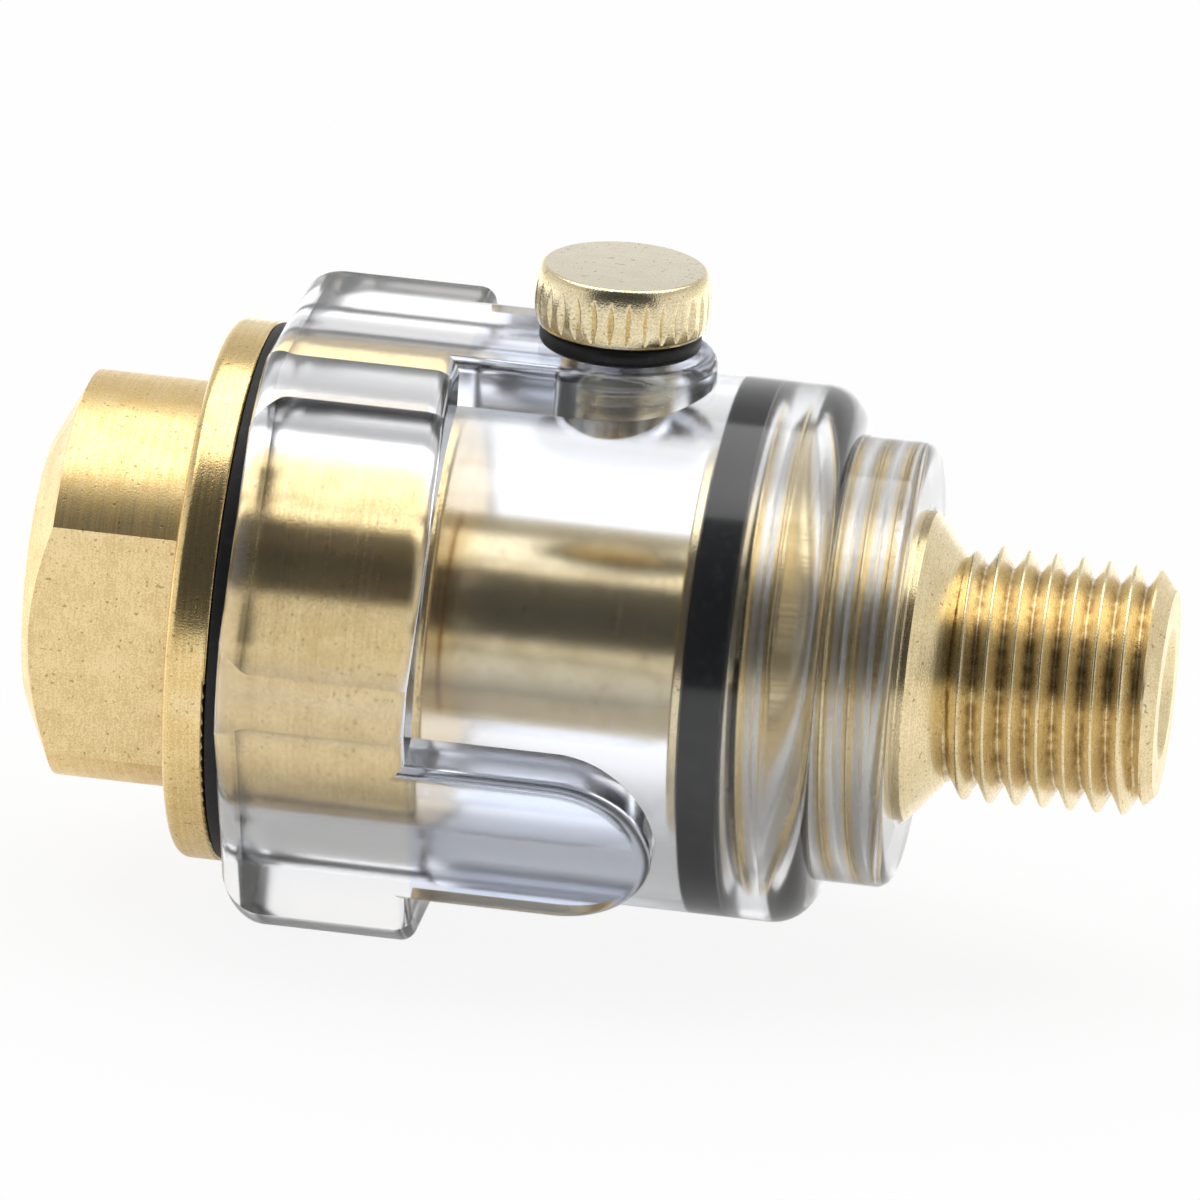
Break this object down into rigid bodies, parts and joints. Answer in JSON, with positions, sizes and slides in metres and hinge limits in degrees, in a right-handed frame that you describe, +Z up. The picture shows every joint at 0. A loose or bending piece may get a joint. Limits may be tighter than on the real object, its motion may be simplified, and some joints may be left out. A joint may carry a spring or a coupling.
{
  "type": "air line lubricator",
  "caption": "Small in-line air tool lubricator: a clear ribbed oil bowl between a brass inlet body and a brass stem with a male pipe thread, with a knurled fill screw on top.",
  "frame": {"origin": "on the axis, where the outlet's male thread begins", "axes": "+X along the air flow, out of the outlet; +Z up, through the fill screw"},
  "size_m": [0.0595, 0.0348, 0.0359],
  "materials": {
    "brass": "satin, with fine turning marks",
    "pale_brass": "bright, knurled",
    "clear_plastic": "clear, polished",
    "rubber": "satin black",
    "felt": "pressed felt"
  },
  "bodies": {
    "housing": {"inlet_body": "brass", "stem": "brass", "reservoir": "clear_plastic", "inlet_seal": "rubber", "outlet_seal": "rubber", "oil_wick": "felt"},
    "fill_seal": {"fill_screw_seal": "rubber"},
    "fill_screw": {"fill_screw": "pale_brass"},
    "metering_ring": {"metering_seal": "rubber"},
    "metering_screw": {"metering_screw": "brass"}
  },
  "joints": [
    {"name": "fill_screw_lift", "type": "slide", "parent": "housing", "child": "fill_seal", "axis": [0, 0, 1], "range_m": [0, 0.0052]},
    {"name": "fill_screw_turn", "type": "hinge", "parent": "fill_seal", "child": "fill_screw", "pos_m": [-0.0189, 0, 0.0158], "axis": [0, 0, 1], "range_deg": [0, 2340]},
    {"name": "metering_slide", "type": "slide", "parent": "housing", "child": "metering_ring", "axis": [1, 0, 0], "range_m": [-0.0008, 0.0008]},
    {"name": "metering_turn", "type": "hinge", "parent": "metering_ring", "child": "metering_screw", "pos_m": [-0.0322, 0, 0], "axis": [1, 0, 0], "range_deg": [-360, 360]}
  ],
  "couplings": [
    {"joint": "fill_screw_turn", "follows": "fill_screw_lift", "rad_per_m": 7853.9},
    {"joint": "metering_turn", "follows": "metering_slide", "rad_per_m": 7853.9}
  ]
}
